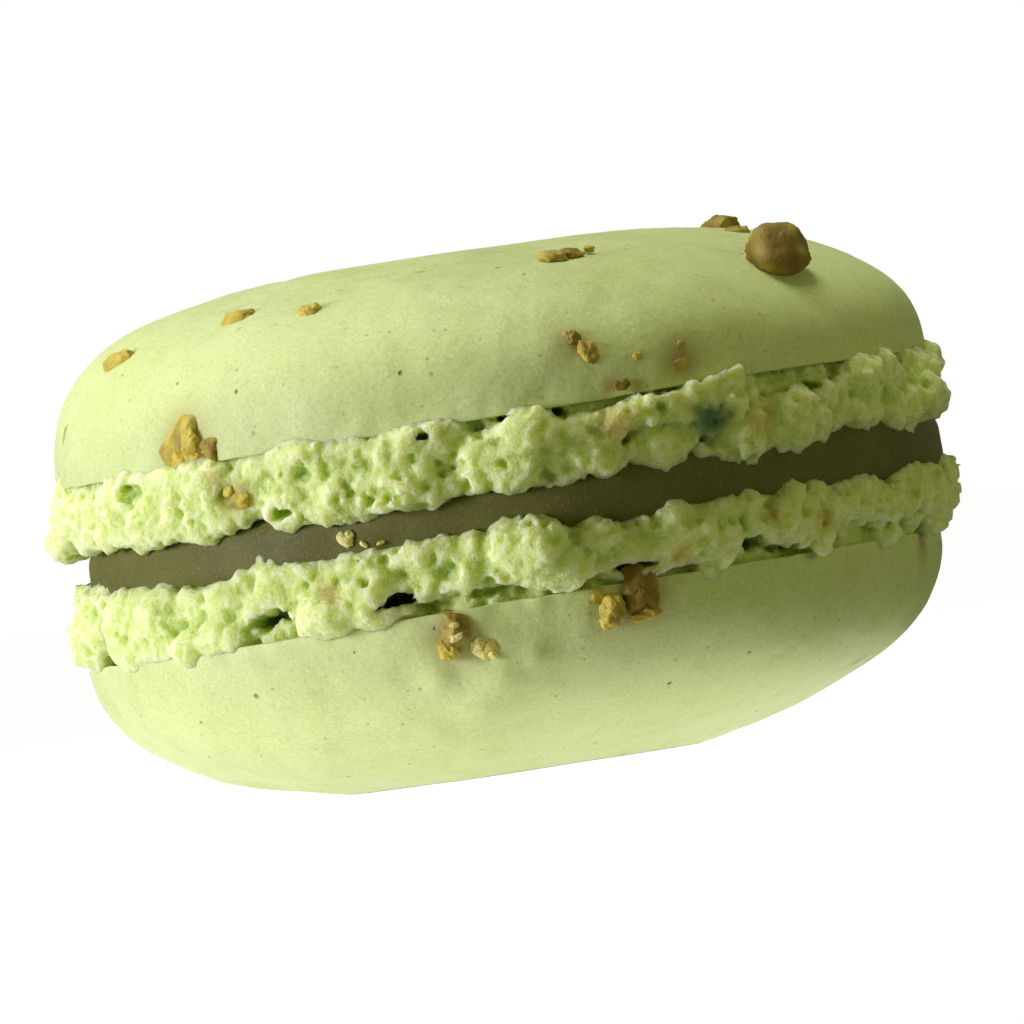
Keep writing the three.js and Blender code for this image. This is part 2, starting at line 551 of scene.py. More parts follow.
@dataclass
class BakedHalf:
    """One baked shell, in a frame of its own: height 0 is the plane it was baked on, and its dome is up."""

    facing: Facing
    middle: float
    base: float
    radius: float
    dome_height: float
    foot_height: float
    flatness: float
    seed: int
    lean: float = 0.06
    around: int = 640
    rings: int = 122
    gather: float = 1.12
    lip: float = 0.12
    lip_rings: int = 6
    underside: float = 1.7
    underside_rise: float = 0.3

    def to_macaron(self, points: np.ndarray) -> np.ndarray:
        """Points of the shell's frame as points of the macaron's.

        Args:
            points: rows of x, y and height.

        Returns:
            The points shifted, mirrored if the shell faces down, and tipped except at the crown.
        """
        share = np.clip((points[:, 2] - self.foot_height) / self.dome_height, 0, 1)
        tip = np.zeros_like(points)
        tip[:, 2] = TIP * points[:, 0] * (1 - share)
        return points * [1, 1, self.facing.value] + tip + [self.middle, 0, self.base]

    def outline(self, height: np.ndarray) -> np.ndarray:
        """The dome's radius at share u of its height: radius x (1 - u^n)^(1/n), n being its flatness."""
        share = np.clip((height - self.foot_height) / self.dome_height, 0, 1)
        return self.radius * (1 - share**self.flatness) ** (1 / self.flatness)

    def spot(self, across: float, height: float, back: bool = False) -> tuple[np.ndarray, np.ndarray]:
        """A place on the dome.

        Args:
            across: its x from the shell's axis.
            height: its height above the baking plane.
            back: whether it is on the far side.

        Returns:
            The place and the outward direction there, which is the slope of the superellipse's equation.
        """
        radius = float(self.outline(np.array(height)))
        across = float(np.clip(across, -radius, radius))
        depth = math.sqrt(radius**2 - across**2) * (1 if back else -1)
        n = self.flatness
        rise = max(0.0, height - self.foot_height)
        out = (radius / self.radius) ** (n - 1) / self.radius
        up = (rise / self.dome_height) ** (n - 1) / self.dome_height
        normal = np.array([across / radius * out, depth / radius * out, up])
        return np.array([across, depth, height]), normal / np.linalg.norm(normal)

    def dome_rows(self) -> np.ndarray:
        """The dome's skin in rings, from the crown down, round the lip and back under it.

        Returns:
            Points as rings x around x 3. On ring t, which runs from 0 to a quarter turn and gathers at the
            crown, the radius is radius x sin(t)^(2/n) and the height dome_height x cos(t)^(2/n), n being
            the flatness; the lip is half a circle, and the underside nearly a flat ring.
        """
        power = 2 / self.flatness
        share = np.linspace(0, 1, self.rings + 1)[1:]
        fall = np.pi / 2 * share**self.gather
        cosine = np.clip(np.cos(fall), 0, 1)
        radius = self.radius * np.sin(fall) ** power
        height = self.foot_height + self.dome_height * cosine**power
        turn = np.linspace(0, np.pi, self.lip_rings + 1)[1:]
        lip_radius = self.radius - self.lip * (1 - np.cos(turn))
        lip_height = self.foot_height - self.lip * np.sin(turn)
        under = np.linspace(0.3, 1, 3)
        radius = np.concatenate([radius, lip_radius, self.radius - 2 * self.lip - self.underside * under])
        height = np.concatenate([height, lip_height, self.foot_height + self.underside_rise * under])
        angle = np.linspace(0, 2 * np.pi, self.around, endpoint=False)
        ring, spoke = np.meshgrid(radius, angle, indexing="ij")
        rise = np.broadcast_to(height[:, None], ring.shape)
        tilt = -self.lean * (ring / self.radius) * np.cos(spoke) * np.maximum(0, rise - self.foot_height)
        return np.stack([ring * np.cos(spoke), ring * np.sin(spoke), rise + tilt], -1)

    def crown(self) -> float:
        """The height of the crown above the baking plane."""
        return self.foot_height + self.dome_height


@dataclass
class Dome:
    """The smooth dome of a shell, a little uneven, pressed flat where it lies on the table."""

    shell: BakedHalf
    name: str
    pressed: float = 0.0
    hub_depth: float = 6.0
    waves: tuple[tuple[float, float], ...] = ((17.0, 0.16), (6.0, 0.05), (2.2, 0.016))
    skirt_wave: tuple[float, float] = (1.6, 0.05)
    skirt_reach: float = 0.5
    bulges: tuple[Spot, ...] = ()
    stains: tuple[Spot, ...] = ()

    def build(self, material: Material, slot: str) -> Piece:
        """Makes the dome.

        Args:
            material: its finish.
            slot: not used.

        Returns:
            The piece: the dome's rings, moved away from a hub under the skirt by ripples of each of the
            waves' lengths and heights and by a bell at each bulge, then cut level where it is pressed.
        """
        shell = self.shell
        rows = shell.dome_rows()
        flat = rows.reshape(-1, 3)
        outward = flat - [0, 0, shell.foot_height - self.hub_depth]
        outward /= np.linalg.norm(outward, axis=1)[:, None]
        uneven = sum(Ripple(*wave, shell.seed + i).at(flat) for i, wave in enumerate(self.waves))
        for bulge in self.bulges:
            place, _ = shell.spot(bulge.across, bulge.height)
            far = np.linalg.norm(flat - place, axis=1) / bulge.reach
            uneven += bulge.rise * np.exp(-(far**2) / 2)
        skirt = np.exp(-np.abs(flat[:, 2] - shell.foot_height) / self.skirt_reach)
        uneven += skirt * Ripple(*self.skirt_wave, shell.seed + len(self.waves)).at(flat)
        flat = flat + outward * uneven[:, None]
        flat[:, 2] = np.minimum(flat[:, 2], shell.crown() - self.pressed)
        caramel = np.zeros(len(flat))
        for stain in self.stains:
            place, _ = shell.spot(stain.across, stain.height)
            far = np.linalg.norm(flat - place, axis=1) / stain.reach
            caramel = np.maximum(caramel, np.exp(-(far**2)))
        points, faces = closed_by_fans(shell.to_macaron(flat).reshape(rows.shape))
        marks = {"caramel": np.concatenate([caramel, [0, 0]])}
        return make_piece(self.name, points, shell.facing.turned(faces), material, marks)


def softened(grid: np.ndarray, times: int) -> np.ndarray:
    """A grid averaged with its neighbours, a quarter, a half and a quarter along each axis.

    Args:
        grid: the numbers; the first axis closes on itself.
        times: how often; the spread is the square root of half of it, in grid steps.

    Returns:
        The softened grid.
    """
    for _ in range(times):
        grid = (np.roll(grid, 1, 0) + 2 * grid + np.roll(grid, -1, 0)) / 4
        wide = np.pad(grid, ((0, 0), (1, 1), (0, 0)), mode="edge")
        grid = (wide[:, :-2] + 2 * grid + wide[:, 2:]) / 4
        wide = np.pad(grid, ((0, 0), (0, 0), (1, 1)), mode="edge")
        grid = (wide[..., :-2] + 2 * grid + wide[..., 2:]) / 4
    return grid


@dataclass(frozen=True)
class Lump:
    """A round of froth, or a hole in it: where it is and its half sizes along, out of and up the foot."""

    across: float
    height: float
    lift: float
    along: float
    out: float
    up: float


@dataclass(frozen=True)
class Ledge:
    """A flap of froth that tore away and stands up against the dome: a slab with a sloping upper edge."""

    start: float
    end: float
    bottom: float
    top_start: float
    top_end: float
    out: float
    thick: float


@dataclass(frozen=True)
class Strewing:
    """Many balls at random places of the froth: how many, the least and largest radius, how softly they
    meet it, how deep their middles lie as a share of their radius, and whether they are holes.
    """

    count: int
    least: float
    largest: float
    blend: float
    sunk: float
    cut: bool = False


@dataclass
class Froth:
    """The foot of a shell: froth that rose from under the skirt, in lobes with knobs, crumbs and holes.

    It is a field on a grid of angle, radius and height, positive inside the froth, because a surface over
    two parameters can't have its overhangs and caves. Balls are joined on or cut out, then skinned.
    The fringe is the height at which the froth ends against the filling, and the crest that at which it
    ends outside the groove, each as x and height from left to right along the front. A wave is a length and
    a height, and a wander a height and a grain, which is in grid steps.
    """

    shell: BakedHalf
    name: str
    step: float = 0.155
    inner: float = 2.3
    outer: float = 2.2
    below: float = 1.2
    above: float = 1.6
    ribbon_middle: float = 1.2
    ribbon_half: float = 1.45
    groove: float = 0.6
    roof: float = 0.22
    hub_wall: float = 0.6
    lobes: int = 34
    lobe_stray: float = 0.6
    lobe_row: float = 0.42
    lobe_rise: float = 0.2
    lobe_sunk: float = 0.5
    lobe_lift: tuple[float, float] = (-0.25, 0.2)
    lobe_along: tuple[float, float] = (1.3, 2.7)
    lobe_out: tuple[float, float] = (0.7, 1.05)
    lobe_up: tuple[float, float] = (0.5, 0.75)
    lobe_blend: float = 0.45
    edge_blend: float = 0.35
    crest_blend: float = 0.3
    tear_blend: float = 0.12
    ribbon_wave: tuple[float, float] = (11.0, 0.12)
    fringe_wave: tuple[float, float] = (7.0, 0.25)
    stain_wave: tuple[float, float] = (1.1, 0.09)
    core_wander: tuple[tuple[float, float], ...] = ((0.25, 26), (0.1, 9))
    fringe_wander: tuple[float, float] = (0.06, 12)
    crest_wander: tuple[float, float] = (0.1, 12)
    ledge_wander: tuple[float, float] = (0.1, 7)
    fuzz: tuple[float, float] = (0.03, 4.0)
    knobs: tuple[Strewing, ...] = (Strewing(210, 0.6, 1.4, 0.3, 0.68), Strewing(1800, 0.28, 0.62, 0.18, 0.58))
    crumbs: tuple[Strewing, ...] = (
        Strewing(100, 0.3, 0.5, 0.15, -0.4, cut=True),
        Strewing(6000, 0.16, 0.32, 0.1, 0.5),
        Strewing(400, 0.15, 0.3, 0.08, -0.3, cut=True),
    )
    fringe: tuple[tuple[float, float], ...] = ((0, 0),)
    crest: tuple[tuple[float, float], ...] = ((0, 9),)
    # how crowded or how deep a point is, for painted shade in hollows and caves and painted light on knobs
    hollow_shade_crowding: tuple[float, float] = (0.55, 0.77)
    knob_light_crowding: tuple[float, float] = (0.52, 0.32)
    hollow_shade_depth: tuple[float, float] = (0.1, 1.2)
    cave_shade_depth: tuple[float, float] = (1.1, 1.7)
    strewn_shape: tuple[float, float] = (0.75, 1.3)
    ledges: tuple[Ledge, ...] = ()
    caves: tuple[Lump, ...] = ()
    risers: tuple[Lump, ...] = ()
    toasts: tuple[Spot, ...] = ()
    dyes: tuple[Spot, ...] = ()

    def __post_init__(self) -> None:
        """Sets the grid's angles, radii and heights."""
        shell = self.shell
        self.rng = np.random.default_rng(shell.seed)
        self.around = int(2 * np.pi * shell.radius / self.step)
        self.angles = np.arange(self.around) * 2 * np.pi / self.around
        self.radii = np.arange(shell.radius - self.inner, shell.radius + self.outer, self.step)
        self.heights = np.arange(-self.below, shell.foot_height + self.above, self.step)

    def core(self) -> np.ndarray:
        """The froth behind the ribbon: a disc, whose wandering edge is the back of the groove.

        Returns:
            The field: the least of the distances to the disc's edge, top and base.
        """
        shape = (self.around, len(self.radii), len(self.heights))
        edge = self.shell.radius - self.groove
        wander = sum(height * foam(shape, steps, self.rng) for height, steps in self.core_wander)
        distance = edge - self.radii[None, :, None] + wander
        away = self.away_from_hub()
        distance = distance * away + self.inner * (1 - away)
        top = self.shell.foot_height + self.roof
        heights = self.heights[None, None, :]
        return np.minimum(distance, np.minimum(heights, top - heights))

    def away_from_hub(self) -> np.ndarray:
        """0 near the grid's inner wall and 1 outside it, so that the wall stays plain."""
        return np.clip((self.radii - self.radii[0]) / self.hub_wall - 1, 0, 1)[None, :, None]

    def wander(self, height: float, steps: float) -> np.ndarray:
        """Unevenness over the whole grid, of a height and of a grain in grid steps."""
        return height * foam(self.density.shape, steps, self.rng)

    def join(self, ball: np.ndarray, blend: float, cut: bool = False) -> None:
        """Joins one ball to the froth, or cuts it out.

        Args:
            ball: its angle, radius and height, then its half sizes along the ring, outwards and upwards.
            blend: how softly it meets the rest.
            cut: whether it is a hole.
        """
        angle, radius, height, along, out, up = ball
        reach = blend + 0.1
        span = int(np.ceil((along + reach) / self.step))
        first = int(np.round(angle * self.around / (2 * np.pi)))
        turns = np.arange(first - span, first + span + 1)
        low, high = np.searchsorted(self.radii, [radius - out - reach, radius + out + reach])
        down, top = np.searchsorted(self.heights, [height - up - reach, height + up + reach])
        if high <= low or top <= down:
            return
        du = (turns * 2 * np.pi / self.around - angle)[:, None, None] * radius / along
        dr = (self.radii[low:high] - radius)[None, :, None] / out
        dh = (self.heights[down:top] - height)[None, None, :] / up
        depth = (1 - np.sqrt(du**2 + dr**2 + dh**2)) * min(along, out, up)
        where = np.ix_(turns % self.around, np.arange(low, high), np.arange(down, top))
        if cut:
            self.density[where] = -soft_max(-self.density[where], depth, blend)
        else:
            self.density[where] = soft_max(self.density[where], depth, blend)

    def surface_places(self, count: int) -> tuple[np.ndarray, np.ndarray]:
        """Random places on the froth's outer surface as it stands.

        Args:
            count: how many.

        Returns:
            Rows of angle, radius and height, and the outward directions there along the same three.
        """
        solid = self.density > 0
        inner = solid.copy()
        for axis, turn in product(range(3), (1, -1)):
            inner &= np.roll(solid, turn, axis)
        edge = solid & ~inner
        edge[:, self.radii < self.shell.radius - self.groove - 0.5] = False
        edge[:, :, self.heights > self.shell.foot_height - 0.1] = False
        cells = np.argwhere(edge[:, 1:-1, 1:-1]) + [0, 1, 1]
        cells = cells[self.rng.permutation(len(cells))[:count]]
        i, j, k = cells.T
        slope = np.stack(
            [
                self.density[(i + 1) % self.around, j, k] - self.density[i - 1, j, k],
                self.density[i, j + 1, k] - self.density[i, j - 1, k],
                self.density[i, j, k + 1] - self.density[i, j, k - 1],
            ],
            -1,
        )
        outward = -slope / np.maximum(np.linalg.norm(slope, axis=1), 1e-6)[:, None]
        return np.stack([self.angles[i], self.radii[j], self.heights[k]], -1), outward

    def strew(self, balls: Strewing) -> None:
        """Joins or cuts many balls at random places of the surface, more of them small than large.

        Args:
            balls: how many, how large and how deep.
        """
        places, outward = self.surface_places(balls.count)
        size = balls.least + (balls.largest - balls.least) * self.rng.random((len(places), 1)) ** 1.5
        shift = -balls.sunk * size * outward
        shift[:, 0] /= places[:, 1]
        shape = self.rng.uniform(*self.strewn_shape, (len(places), 3)) * size
        for ball in np.concatenate([places + shift, shape], 1):
            self.join(ball, balls.blend, balls.cut)

    def ribbon(self) -> np.ndarray:
        """The big lobes round the whole foot, in two rows, each a little higher, lower or prouder.

        Returns:
            The lobes, one ball a row.
        """
        rng, count = self.rng, 2 * self.lobes
        row = np.arange(count) % 2
        stray = rng.uniform(-self.lobe_stray, self.lobe_stray, count)
        place = (np.arange(count) + stray) * 2 * np.pi / count
        ring = np.stack([self.shell.radius * np.cos(place), self.shell.radius * np.sin(place), 0 * place], -1)
        heights = self.ribbon_middle + self.ribbon_half * (self.lobe_row * (1 - 2 * row))
        wave = Ripple(*self.ribbon_wave, self.shell.seed + 5).at(ring)
        heights += wave + rng.uniform(-self.lobe_rise, self.lobe_rise, count)
        radii = self.shell.radius - self.lobe_sunk + rng.uniform(*self.lobe_lift, count)
        along = rng.uniform(*self.lobe_along, count)
        out = rng.uniform(*self.lobe_out, count)
        up = self.ribbon_half * rng.uniform(*self.lobe_up, count)
        return np.stack([place, radii, heights, along, out, up], -1)

    def trim(self) -> None:
        """Ends the froth at its fringe, and outside the groove at its crest; both wander a little."""
        across = self.shell.radius * np.cos(self.angles)
        edge = np.interp(across, *np.array(self.fringe).T)
        ring = np.stack([across, self.shell.radius * np.sin(self.angles), 0 * across], -1)
        behind = np.clip(np.sin(self.angles), 0, 1)
        edge = edge + Ripple(*self.fringe_wave, self.shell.seed + 6).at(ring) * behind
        above = self.heights[None, None, :] - edge[:, None, None]
        above = above + self.wander(*self.fringe_wander)
        self.density = -soft_max(-self.density, -above * np.ones_like(self.density), self.edge_blend)
        top = np.interp(across, *np.array(self.crest).T)
        top = np.where(np.sin(self.angles) < 0, top, self.shell.foot_height)
        proud = self.heights[None, None, :] - top[:, None, None]
        proud = proud + self.wander(*self.crest_wander)
        outside = self.radii[None, :, None] - self.shell.radius + self.groove + 0.1
        self.density = -soft_max(-self.density, np.minimum(proud, outside), self.crest_blend)

    def raise_ledge(self, ledge: Ledge) -> None:
        """Joins a ledge: where a place is inside all of its six sides, by the nearest side.

        Args:
            ledge: the ledge.
        """
        across = self.radii[None, :, None] * np.cos(self.angles)[:, None, None]
        share = (across - ledge.start) / (ledge.end - ledge.start)
        top = ledge.top_start + (ledge.top_end - ledge.top_start) * share
        heights = self.heights[None, None, :]
        outside = self.radii[None, :, None] - self.shell.radius
        sides = [across - ledge.start, ledge.end - across, top - heights, heights - ledge.bottom]
        sides += [ledge.out - outside, outside - ledge.out + ledge.thick]
        depth = np.minimum.reduce(np.broadcast_arrays(*sides)) + self.wander(*self.ledge_wander)
        depth = np.where(np.sin(self.angles)[:, None, None] < 0, depth, -1.0)
        self.density = soft_max(self.density, depth, self.tear_blend)

    def grow(self) -> None:
        """Lets the froth rise: the core, the ribbon, the named lumps and caves, then the finer ones."""
        self.density = self.core()
        for ball in self.ribbon():
            self.join(ball, self.lobe_blend)
        for lump in self.risers:
            self.join(self.facing_ball(lump), self.lobe_blend)
        self.trim()
        for balls in self.knobs:
            self.strew(balls)
        for ledge in self.ledges:
            self.raise_ledge(ledge)
        self.density = softened(self.density, 1)
        for lump in self.caves:
            self.join(self.facing_ball(lump), self.tear_blend, cut=True)
        for balls in self.crumbs:
            self.strew(balls)
        self.density += self.wander(*self.fuzz) * self.away_from_hub()

    def facing_ball(self, lump: Lump) -> np.ndarray:
        """A lump on the front of the foot, as a ball.

        Args:
            lump: the lump.

        Returns:
            Its angle, radius, height and half sizes, as join takes them.
        """
        radius = self.shell.radius + lump.lift
        angle = -math.acos(max(-1.0, min(1.0, lump.across / radius)))
        return np.array([angle, radius, lump.height, lump.along, lump.out, lump.up])

    def skin(self) -> tuple[np.ndarray, list]:
        """The froth's surface, by surface nets.

        Returns:
            Points in the shell's frame and faces: one point in each grid box that the surface crosses, at
            the mean of its crossings of the box's edges, and a quad round each grid edge that it crosses.
        """
        wrapped = np.concatenate([self.density, self.density[:1]])
        around, deep, tall = self.density.shape
        corners = list(product((0, 1), repeat=3))
        values = np.stack(
            [wrapped[a : a + around, b : b + deep - 1, c : c + tall - 1] for a, b, c in corners], -1
        )
        inside = (values > 0).sum(-1)
        mixed = (inside > 0) & (inside < 8)
        values = values[mixed]
        total = np.zeros((len(values), 3))
        count = np.zeros((len(values), 1))
        for (p, here), (q, there) in product(enumerate(corners), repeat=2):
            if q <= p or sum(abs(x - y) for x, y in zip(here, there)) != 1:
                continue
            crossed = ((values[:, p] > 0) != (values[:, q] > 0))[:, None]
            share = values[:, p : p + 1] / np.where(crossed, values[:, p : p + 1] - values[:, q : q + 1], 1)
            total += crossed * (np.array(here) + share * (np.array(there) - here))
            count += crossed
        cell = np.argwhere(mixed) + total / count
        angle = cell[:, 0] * 2 * np.pi / around
        radius = self.radii[0] + cell[:, 1] * self.step
        height = self.heights[0] + cell[:, 2] * self.step
        points = np.stack([radius * np.cos(angle), radius * np.sin(angle), height], -1)
        number = np.full(mixed.shape, -1)
        number[mixed] = np.arange(len(points))
        return points, self.quads(number) + self.lids(number, points)

    def quads(self, number: np.ndarray) -> list:
        """Quads round the grid edges that the surface crosses.

        Args:
            number: the point number of each grid box, or -1.

        Returns:
            The quads, facing out of the froth.
        """
        solid = self.density > 0
        around = self.around
        found = []
        for axis in range(3):
            ahead = np.roll(solid, -1, axis)
            crossed = solid != ahead
            for other in (1, 2):
                ends = [slice(None)] * 3
                ends[other] = -1
                crossed[tuple(ends)] = False
                if other != axis:
                    ends[other] = 0
                    crossed[tuple(ends)] = False
            edge = np.argwhere(crossed)
            first, second = [a for a in range(3) if a != axis]
            corner = []
            for back_first, back_second in ((1, 1), (0, 1), (0, 0), (1, 0)):
                box = edge.copy()
                box[:, first] -= back_first
                box[:, second] -= back_second
                box[:, 0] %= around
                corner.append(number[box[:, 0], box[:, 1], box[:, 2]])
            quad = np.stack(corner, -1)
            outward = solid[tuple(edge.T)] == (axis == 1)
            quad[~outward] = quad[~outward][:, ::-1]
            found += quad.tolist()
        return found

    def lids(self, number: np.ndarray, points: np.ndarray) -> list:
        """Fans that close the froth's top and base inside the grid's inner wall.

        Args:
            number: the point number of each grid box, or -1.
            points: the points so far; the fans' two middles follow them.

        Returns:
            The triangles.
        """
        wall = number[:, 0, :]
        base = wall[np.arange(self.around), (wall >= 0).argmax(1)]
        top = wall[np.arange(self.around), wall.shape[1] - 1 - (wall >= 0)[:, ::-1].argmax(1)]
        count = len(points)
        lower = [[count, int(b), int(a)] for a, b in zip(base, np.roll(base, -1))]
        upper = [[count + 1, int(a), int(b)] for a, b in zip(top, np.roll(top, -1))]
        return lower + upper

    def near(self, points: np.ndarray, spots: tuple[Spot, ...]) -> np.ndarray:
        """How close points on the front of the foot are to some spots, whatever their depth.

        Args:
            points: points in the shell's frame.
            spots: the spots.

        Returns:
            1 at a spot's middle, falling away as a bell with a flat top: e to the minus cube of the
            distance, in reaches.
        """
        closeness = np.zeros(len(points))
        wander = 1 + Ripple(*self.stain_wave, self.shell.seed + 7).at(points)
        for spot in spots:
            distance = np.hypot(points[:, 0] - spot.across, points[:, 2] - spot.height) * wander
            closeness = np.maximum(closeness, np.exp(-((distance / spot.reach) ** 3)))
        return closeness * (points[:, 1] < 0)

    def crowding(self, points: np.ndarray) -> np.ndarray:
        """How much froth lies round each point of the skin: a half on a flat, more in a hollow.

        Args:
            points: points in the shell's frame.

        Returns:
            Shares from 0 to 1.
        """
        solid = softened((self.density > 0).astype(float), 8)
        turn = np.arctan2(points[:, 1], points[:, 0]) * self.around / (2 * np.pi)
        radius = (np.hypot(points[:, 0], points[:, 1]) - self.radii[0]) / self.step
        height = (points[:, 2] - self.heights[0]) / self.step
        cell = np.rint(np.stack([turn, radius, height], -1)).astype(int)
        cell[:, 0] %= self.around
        cell[:, 1:] = np.clip(cell[:, 1:], 0, np.array(solid.shape)[1:] - 1)
        return solid[tuple(cell.T)]

    def build(self, material: Material, slot: str) -> Piece:
        """Makes the foot.

        Args:
            material: its finish.
            slot: not used.

        Returns:
            The piece, marked for painted shade in its hollows and deep in its caves, painted light on its
            knobs, and where it is toasted or dyed.
        """
        self.grow()
        points, faces = self.skin()
        points = np.concatenate([points, [[0, 0, 0], [0, 0, self.shell.foot_height + self.roof]]])
        depth = self.shell.radius - np.hypot(points[:, 0], points[:, 1])
        crowding = self.crowding(points)
        # painted shade in the hollows and deep in the caves, painted light on the knobs
        marks = {
            "hollow": np.maximum(ramped(depth, *self.hollow_shade_depth), ramped(crowding, *self.hollow_shade_crowding)),
            "knob": ramped(crowding, *self.knob_light_crowding),
            "painted_cave_shade": ramped(depth, *self.cave_shade_depth),
            "toast": self.near(points, self.toasts),
            "dye": self.near(points, self.dyes),
        }
        faces = self.shell.facing.turned(faces)
        return make_piece(self.name, self.shell.to_macaron(points), faces, material, marks)


@dataclass
class Filling:
    """The ganache: a disc whose edge bulges between the shells and wanders a little."""

    low: float
    high: float
    middle: float
    radius: float
    edge_bulge: float = 0.6
    waves: tuple[tuple[float, float], ...] = ((12.0, 0.1), (3.0, 0.035))
    seed: int = 5
    around: int = 720
    rings: int = 36
    facing: Facing = Facing.UP

    def to_macaron(self, points: np.ndarray) -> np.ndarray:
        """Points round the filling's axis as points of the macaron's frame, tipped like the shells."""
        return points + [self.middle, 0, 0] + TIP * points[:, :1] * [0, 0, 1]

    def spot(self, across: float, height: float, back: bool = False) -> tuple[np.ndarray, np.ndarray]:
        """A place on the filling's edge.

        Args:
            across: its x from the filling's axis.
            height: its height above the table.
            back: whether it is on the far side.

        Returns:
            The place and the outward direction there.
        """
        depth = math.sqrt(self.radius**2 - across**2) * (1 if back else -1)
        place = np.array([across, depth, height])
        return place, np.array([across, depth, 0]) / self.radius

    def build(self, material: Material) -> Piece:
        """Makes the filling.

        Args:
            material: its finish.

        Returns:
            The piece: its radius at height share v from -1 to 1 is radius - edge_bulge x v^4, uneven.
        """
        share = np.linspace(1, -1, self.rings)
        angle = np.linspace(0, 2 * np.pi, self.around, endpoint=False)
        rise, spoke = np.meshgrid(share, angle, indexing="ij")
        radius = self.radius - self.edge_bulge * rise**4
        height = (self.low + self.high) / 2 + rise * (self.high - self.low) / 2
        flat = np.stack([radius * np.cos(spoke), radius * np.sin(spoke), height], -1).reshape(-1, 3)
        uneven = sum(Ripple(*wave, self.seed + i).at(flat) for i, wave in enumerate(self.waves))
        flat[:, :2] *= (1 + uneven / self.radius)[:, None]
        points, faces = closed_by_fans(self.to_macaron(flat).reshape(self.rings, self.around, 3))
        return make_piece("ganache", points, faces, material)


@dataclass(frozen=True)
class Chip:
    """One chip of nut: its place, its sizes, how far it stands out, its tone and how it is turned."""

    across: float
    height: float
    wide: float
    tall: float
    thick: float
    proud: float
    tone: float = 0.3
    turn: float = 0.0
    back: bool = False


@dataclass
class NutChips:
    """Chopped caramelised nuts, half sunk in what they fell on."""

    name: str
    slot: str
    seed: int = 41
    around: int = 44
    rings: int = 26
    cuts: int = 8
    cut_depth: tuple[float, float] = (0.68, 1.05)
    cut_blend: float = 0.1
    smooth_width: float = 1.6

    def block(self, coarse: float, rng: np.random.Generator) -> np.ndarray:
        """A broken bit of nut, about 2 across.

        Args:
            coarse: how rough it is, from 0 to 1.
            rng: what makes it unlike the others.

        Returns:
            Points as rings x around x 3: a rounded block, (x^3 + y^3 + z^3)^(1/3) = 1, cut by random
            planes. In each direction the radius is the soft least of the block's and of each plane's
            distance over the cosine to it, then roughened and creased.
        """
        fall = np.linspace(0, np.pi, self.rings + 2)[1:-1]
        fall, spoke = np.meshgrid(fall, np.linspace(0, 2 * np.pi, self.around, endpoint=False), indexing="ij")
        way = np.stack([np.sin(fall) * np.cos(spoke), np.sin(fall) * np.sin(spoke), np.cos(fall)], -1)
        normals = rng.normal(size=(self.cuts, 3))
        normals /= np.linalg.norm(normals, axis=1)[:, None]
        radius = (np.abs(way) ** 3).sum(-1) ** (-1 / 3)
        for normal, distance in zip(normals, rng.uniform(*self.cut_depth, self.cuts)):
            cosine = np.maximum(way @ normal, 1e-3)
            radius = -soft_max(-radius, -np.minimum(distance / cosine, 2.0), self.cut_blend)
        ball = (way * radius[..., None]).reshape(-1, 3)
        rough = Ripple(0.7, 0.05 * coarse, int(rng.integers(1 << 30))).at(ball)
        rough -= np.abs(Ripple(0.45 * coarse, 0.06 * coarse, int(rng.integers(1 << 30))).at(ball))
        return (ball * (1 + rough)[:, None]).reshape(way.shape)

    def chip(
        self, shell: BakedHalf | Filling, chip: Chip, rng: np.random.Generator
    ) -> tuple[np.ndarray, list, np.ndarray]:
        """One chip in its place, lying along the surface.

        Args:
            shell: the shell or the filling that it sits in.
            chip: its place and sizes.
            rng: what makes it unlike the others.

        Returns:
            Its points, faces and tones.
        """
        ball = self.block(min(1.0, self.smooth_width / chip.wide), rng)
        ball = ball * [chip.wide / 2, chip.tall / 2, chip.thick / 2]
        place, normal = shell.spot(chip.across, chip.height, chip.back)
        side = np.cross([0.0, 0.0, 1.0], normal)
        side /= np.linalg.norm(side)
        rise = np.cross(normal, side)
        lean = math.radians(chip.turn)
        along = side * math.cos(lean) + rise * math.sin(lean)
        turn = np.stack([along, np.cross(normal, along), normal])
        middle = place + normal * (chip.proud - chip.thick / 2)
        rows = shell.to_macaron(ball.reshape(-1, 3) @ turn + middle).reshape(ball.shape)
        points, faces = closed_by_fans(rows)
        tone = np.clip(chip.tone + Ripple(1.2, 0.06, int(rng.integers(1 << 30))).at(points), 0, 1)
        return points, shell.facing.turned(faces), tone

    def scattered(self, shell: BakedHalf, count: int, rng: np.random.Generator) -> list[Chip]:
        """Chips on the side that faces away, at about the front's rate.

        Args:
            shell: the shell.
            count: how many.
            rng: where they fall.

        Returns:
            The chips.
        """
        highest = 0.985 if shell.facing is Facing.UP else 0.6
        chips = []
        for _ in range(count):
            wide = rng.uniform(0.9, 2.6)
            chips.append(
                Chip(
                    across=rng.uniform(-19, 19),
                    height=shell.foot_height + shell.dome_height * rng.uniform(0.15, highest),
                    wide=wide,
                    tall=wide * rng.uniform(0.6, 1),
                    thick=wide * 0.8,
                    proud=rng.uniform(0.1, 0.5) * wide * 0.6,
                    tone=rng.uniform(0.1, 0.75),
                    turn=rng.uniform(-30, 30),
                    back=True,
                )
            )
        return chips

    def build(self, material: Material, sets: list[tuple[BakedHalf | Filling, list[Chip]]]) -> Piece:
        """Makes all the chips as one piece.

        Args:
            material: their finish.
            sets: what they sit in, and the chips in it.

        Returns:
            The piece.
        """
        rng = np.random.default_rng(self.seed)
        points, faces, tones, count = [], [], [], 0
        for shell, chips in sets:
            for chip in chips:
                spots, skin, tone = self.chip(shell, chip, rng)
                points.append(spots)
                faces += [[corner + count for corner in face] for face in skin]
                tones.append(tone)
                count += len(spots)
        marks = {"tone": np.concatenate(tones)}
        return make_piece(self.name, np.concatenate(points), faces, material, marks)


# ---------------------------------------------------------------- the macaron


